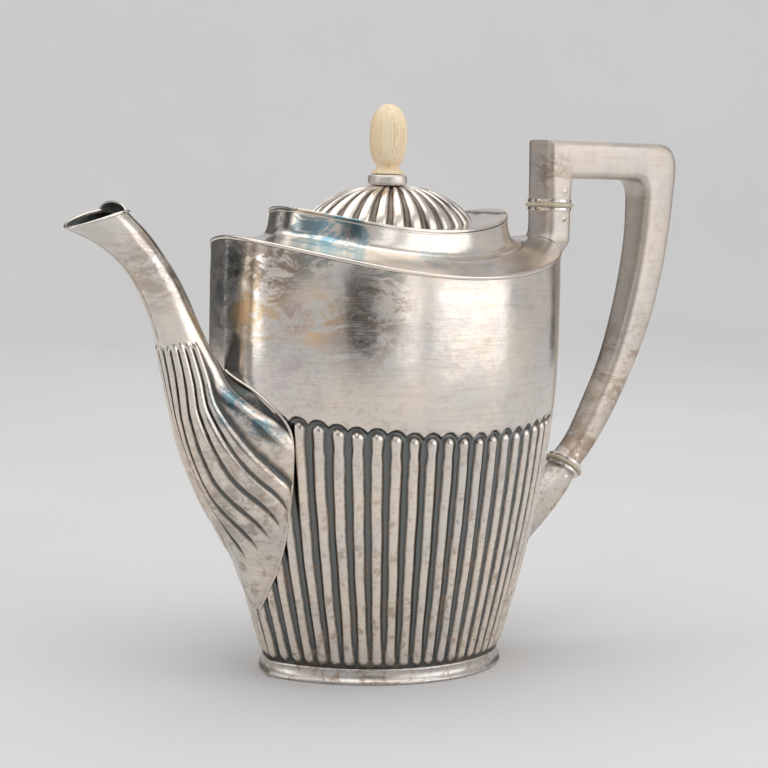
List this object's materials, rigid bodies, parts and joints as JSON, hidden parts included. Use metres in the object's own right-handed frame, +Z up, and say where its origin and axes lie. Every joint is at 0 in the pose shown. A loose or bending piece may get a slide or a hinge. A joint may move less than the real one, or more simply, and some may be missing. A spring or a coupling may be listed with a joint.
{
  "type": "coffee pot",
  "caption": "Silver coffee pot with a fluted pointed-oval body, swan-neck spout, hinged domed lid with an ivory finial and a square loop handle on ivory insulators",
  "frame": {"origin": "on the table plane under the foot, under the middle of the overall length from spout lip to handle", "axes": "+Z up; -X towards the spout, +X towards the handle; -Y towards the side with the near spout half. The body's own axis stands at x = -3.45 mm"},
  "size_m": [0.2976, 0.115, 0.22],
  "materials": {
    "silver_body": "polished silver, softened by age, with dark tarnish in the hollows",
    "silver_shoulder": "plain polished silver with light brushing and blue-grey tarnish",
    "silver_bright": "worn bright silver edges",
    "silver_dark": "dark tarnished silver",
    "ivory": "aged ivory, satin, with faint brown grain"
  },
  "bodies": {
    "pot": {"body_shell": "silver_body", "base_plate": "silver_body", "foot_ring": "silver_body", "rim_wire": "silver_bright", "shoulder": "silver_shoulder", "gallery": "silver_shoulder", "gallery_wire": "silver_bright", "gallery_tip": "silver_bright", "spout_half_near": "silver_body", "spout_half_far": "silver_body", "spout_lip_wire": "silver_bright", "spout_hood": "silver_bright", "upper_socket": "silver_body", "lower_socket": "silver_body", "upper_socket_collar": "silver_bright", "lower_socket_collar": "silver_bright", "handle": "silver_body", "upper_handle_collar": "silver_bright", "lower_handle_collar": "silver_bright", "upper_insulator": "ivory", "lower_insulator": "ivory", "insulator_pins": "silver_dark", "gallery_hinge_leaf": "silver_bright", "hinge_pin": "silver_dark"},
    "lid": {"lid_plate": "silver_shoulder", "lid_bezel": "silver_shoulder", "lid_dome": "silver_body", "lid_hinge_leaf": "silver_bright", "finial_washer": "silver_bright", "finial": "ivory", "finial_stud": "silver_dark", "finial_nut": "silver_dark"}
  },
  "joints": [
    {"name": "lid_hinge", "type": "hinge", "parent": "pot", "child": "lid", "pos_m": [0.04405, 0, 0.1769], "axis": [0, 1, 0], "range_deg": [0, 90]}
  ]
}
